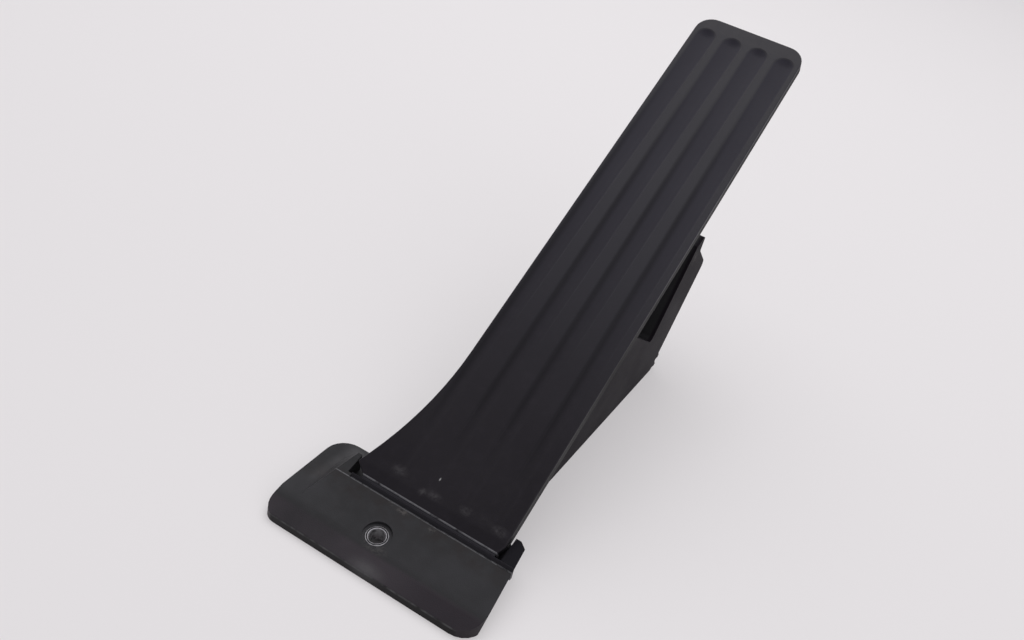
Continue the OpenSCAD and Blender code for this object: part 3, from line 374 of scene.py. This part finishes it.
# Film hinge and its strip: the same moulding as the plate. The strip sits in the foot's groove, and the film is
# seven tenths of a millimetre thick.
strip = eased_copy("hinge_strip", "strip", "base", 0.0002)
strip_black = moulded("strip_black", (0.0085, 0.0078, 0.0105), 0.45, level=0.2)
front_edge = both(strip_black, along(strip_black, Y, 0.0129, 0.01275), cloud(strip_black, *pale_line_cloud), 0.8)
paint(strip_black, front_edge, (0.22, 0.22, 0.23))
coat(strip, strip_black)
low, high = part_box("film_hinge")
bpy.ops.mesh.primitive_cube_add(size=1, location=(low + high) / 2, scale=high - low)
film = bpy.context.object
film.name = "film"
film_cuts = 6
select_only(film)
bpy.ops.object.transform_apply(location=True, rotation=True, scale=True)
bpy.ops.object.mode_set(mode="EDIT")
bpy.ops.mesh.select_all(action="SELECT")
bpy.ops.mesh.subdivide(number_cuts=film_cuts)
bpy.ops.object.mode_set(mode="OBJECT")
bpy.ops.object.shade_smooth_by_angle(angle=math.radians(40))
coat(film, strip_black)
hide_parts("film_hinge")
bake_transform(film)

# Bolt sleeve: a length of zinc-plated steel tube pressed into the foot. Its ring is dark, and its outer and
# inner rims carry painted highlights.
def metal(name, colour, rough, tarnish):
    """Drawn or plated steel with a faint unevenness and a tarnish in patches."""
    mat = bpy.data.materials.new(name)
    mat.use_nodes = True
    surface = mat.node_tree.nodes["Principled BSDF"]
    surface.inputs["Base Color"].default_value = (*colour, 1)
    surface.inputs["Metallic"].default_value = 1.0
    paint(mat, cloud(mat, 500, 0.45, 0.7), tarnish)
    wide = cloud(mat, 900, 0.3, 0.7)
    dull = shader(mat, "ShaderNodeMapRange", Value=wide, i3=rough - 0.06, i4=rough + 0.1).outputs[0]
    mat.node_tree.links.new(dull, surface.inputs["Roughness"])
    return mat


sleeve = eased_copy("mount_sleeve", "sleeve", "base", 0.0003)
zinc = metal("zinc_plate", (0.42, 0.42, 0.43), 0.4, (0.24, 0.23, 0.22))
ring = metal("sleeve_zinc", (0.035, 0.035, 0.037), 0.5, (0.02, 0.019, 0.018))
lean = math.radians(10)
tilted = shader(ring, "ShaderNodeMapping", Vector=place_of(ring), Rotation=(-lean, 0, 0)).outputs[0]
flat_out = shader(ring, "ShaderNodeVectorMath", operation="MULTIPLY", i0=tilted, i1=(1, 1, 0)).outputs[0]
radius = shader(ring, "ShaderNodeVectorMath", operation="LENGTH", i0=flat_out).outputs["Value"]
# Painted highlights on the outer and inner rims
for rim, inside in ((0.00345, 0.00365), (0.00425, 0.00405)):
    lighter = shader(ring, "ShaderNodeMapRange", Value=radius, i1=inside, i2=rim).outputs[0]
    paint(ring, both(ring, lighter, cloud(ring, 400, 0.25, 0.5)), (0.75, 0.75, 0.76))
coat(sleeve, ring)

# Return springs: drawn spring steel wire in two coils of three turns and a part. Each fixed leg stands behind
# the deck's ledge, and each moving leg lies under the lever's cross bar.
wire = metal("spring_wire", (0.36, 0.36, 0.38), 0.3, (0.2, 0.19, 0.18))
for side in ("left", "right"):
    node = "return_spring_" + side
    spring = bpy.data.objects.new("spring_" + side, nodes[node].data.copy())
    bpy.context.scene.collection.objects.link(spring)
    select_only(spring)
    bpy.ops.object.mode_set(mode="EDIT")
    bpy.ops.mesh.select_all(action="SELECT")
    bpy.ops.mesh.remove_doubles(threshold=1e-6)
    bpy.ops.object.mode_set(mode="OBJECT")
    bpy.ops.object.shade_smooth_by_angle(angle=math.radians(50))
    coat(spring, wire)
    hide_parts(node)
    low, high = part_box(node)
    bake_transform(spring)

# Lever, shoe and bearings: the lever is the housing's nylon, and the shoe, bushes, washers and magnet carrier
# are natural acetal, a waxy cream plastic.
lever_black = moulded("lever_black", (0.024, 0.024, 0.026), 0.4)
acetal = moulded("acetal_cream", (0.62, 0.57, 0.45), 0.34, grain=0.00001)
lever = eased_copy("sensor_lever", "lever", "lever", 0.0003)
coat(lever, lever_black)
for node, body in (("slide_shoe", "lever"), ("magnet_carrier", "lever"),
                   ("bush_left", "base"), ("bush_right", "base"),
                   ("friction_washer_left", "base"), ("friction_washer_right", "base")):
    coat(eased_copy(node, node + "_piece", body, 0.0002), acetal)
for node, body in (("lever_shaft", "lever"), ("shoe_pin", "lever"), ("cover_screws", "base")):
    coat(eased_copy(node, node + "_piece", body, 0.00015), zinc)

# Stops and seal: black rubber, matt, with a faint bloom on the surface.
rubber = moulded("stop_rubber", (0.018, 0.018, 0.018), 0.75, grain=0.00003, cell=0.0008)
for node in ("idle_stop_pad", "full_stop_buffer", "cover_seal"):
    coat(eased_copy(node, node + "_piece", "base", 0.0003), rubber)

# Sensor cover: a nylon cap screwed to the housing's left side, with the plug's inlet moulded on it.
cover = eased_copy("sensor_cover", "cover", "base", 0.0004)
coat(cover, lever_black)

# Sensor: a ferrite magnet, a green circuit board with two moulded Hall sensors, and tinned terminals.
ferrite = moulded("ferrite_grey", (0.05, 0.05, 0.053), 0.6)
board_green = moulded("board_green", (0.02, 0.16, 0.06), 0.3, grain=0.00001)
chip_black = moulded("chip_black", (0.018, 0.018, 0.019), 0.5)
tinned = metal("tinned_brass", (0.72, 0.7, 0.64), 0.3, (0.5, 0.44, 0.3))
coat(nodes["sensor_magnet"], ferrite)
coat(nodes["circuit_board"], board_green)
coat(nodes["hall_sensors"], chip_black)
coat(nodes["terminal_pins"], tinned)

# Floor: a plain pale sheet that the pedal stands on, out to beyond the camera's view. Part of its tone is
# its own, for what looks at it straight, so the pedal's shadow stays soft.
bpy.ops.object.select_all(action="DESELECT")
bpy.ops.mesh.primitive_plane_add(size=8, location=(0, 0, 0))
floor = bpy.context.object
floor.name = "floor"
pale = bpy.data.materials.new("pale_floor")
pale.use_nodes = True
sheet = pale.node_tree.nodes["Principled BSDF"]
sheet.inputs["Roughness"].default_value = 0.7
sheet.inputs["Specular IOR Level"].default_value = 0.2
bolt_hole = (0, 0, 0)
# Painted shade: the floor is painted dark under the bolt hole
under = shader(pale, "ShaderNodeMix", data_type="RGBA", i0=around(pale, bolt_hole, 0.009),
               i6=(0.74, 0.72, 0.73, 1), i7=(0.12, 0.115, 0.115, 1))
pale.node_tree.links.new(under.outputs[2], sheet.inputs["Base Color"])
path = shader(pale, "ShaderNodeLightPath")
seen = path.outputs["Is Camera Ray"]
for other in ("Is Glossy Ray", "Is Transmission Ray"):
    seen = arithmetic(pale, "MAXIMUM", seen, path.outputs[other])
own = shader(pale, "ShaderNodeEmission", Color=(0.83, 0.805, 0.815, 1), Strength=1.0)
own_share = 0.42
open_floor = shader(pale, "ShaderNodeMapRange", Value=around(pale, bolt_hole, 0.012),
                    i1=0.0, i2=0.5, i3=own_share, i4=0.0).outputs[0]
mixed = shader(pale, "ShaderNodeMixShader", i0=both(pale, seen, open_floor),
               i1=sheet.outputs[0], i2=own.outputs[0])
pale.node_tree.links.new(mixed.outputs[0], pale.node_tree.nodes["Material Output"].inputs["Surface"])
floor.data.materials.append(pale)

# Light: an even pale sky that is brighter overhead and dimmer high in front, where the photographer stands,
# and two soft lamps. For light that has already met a dull surface, the sky is one even, weaker level.
world = bpy.data.worlds.new("studio")
bpy.context.scene.world = world
world.use_nodes = True
sky = world.node_tree.nodes["Background"]
sky.inputs[0].default_value = (0.975, 0.952, 1.0, 1)
way = shader(world, "ShaderNodeTexCoord").outputs["Generated"]
level = 0.74
dull_level = 0.34
for toward, edge, core, part in (((-0.25, 0.22, 0.94), 38, 8, 1.08), ((-0.25, -0.5, 0.83), 38, 12, 0.08)):
    aimed = Vector(toward).normalized()
    near = shader(world, "ShaderNodeVectorMath", operation="DOT_PRODUCT", i0=way, i1=aimed).outputs["Value"]
    share = eased(world, near, math.cos(math.radians(edge)), math.cos(math.radians(core)))
    level = shader(world, "ShaderNodeMix", data_type="FLOAT", i0=share, i2=level, i3=part).outputs[0]
soft = shader(world, "ShaderNodeLightPath").outputs["Is Diffuse Ray"]
level = shader(world, "ShaderNodeMapRange", Value=soft, i3=level, i4=dull_level).outputs[0]
world.node_tree.links.new(level, sky.inputs[1])
pedal_middle = (0.01, 0.1, 0.03)
for name, place, size, power in (("key", (-0.2, 0.6, 1.25), 1.8, 16), ("fill", (1.2, -0.8, 1.1), 1.4, 6)):
    bpy.ops.object.light_add(type="AREA", location=place)
    lamp = bpy.context.object
    lamp.name = name
    lamp.data.shape = "DISK"
    lamp.data.size = size
    lamp.data.energy = power
    lamp.visible_glossy = False
    aim = Vector(pedal_middle) - Vector(place)
    lamp.rotation_euler = aim.to_track_quat("-Z", "Y").to_euler()

# Camera: from the front right and above, as the photograph was taken. Its lens, place and directions were
# solved from the foot's and the plate's edges in the photograph.
lens = bpy.data.cameras.new("camera")
lens.lens = 37.97
lens.sensor_width = 36.0
camera = bpy.data.objects.new("camera", lens)
bpy.context.scene.collection.objects.link(camera)
right = Vector((0.8444, 0.4957, 0.2033))
up = Vector((-0.4318, 0.4050, 0.8060))
back = Vector((0.3171, -0.7683, 0.5561))
turned = Matrix((right, up, back)).transposed().to_4x4()
camera.matrix_world = Matrix.Translation((0.13267, -0.24808, 0.30068)) @ turned
bpy.context.scene.camera = camera

bpy.context.scene.view_settings.view_transform = "Standard"
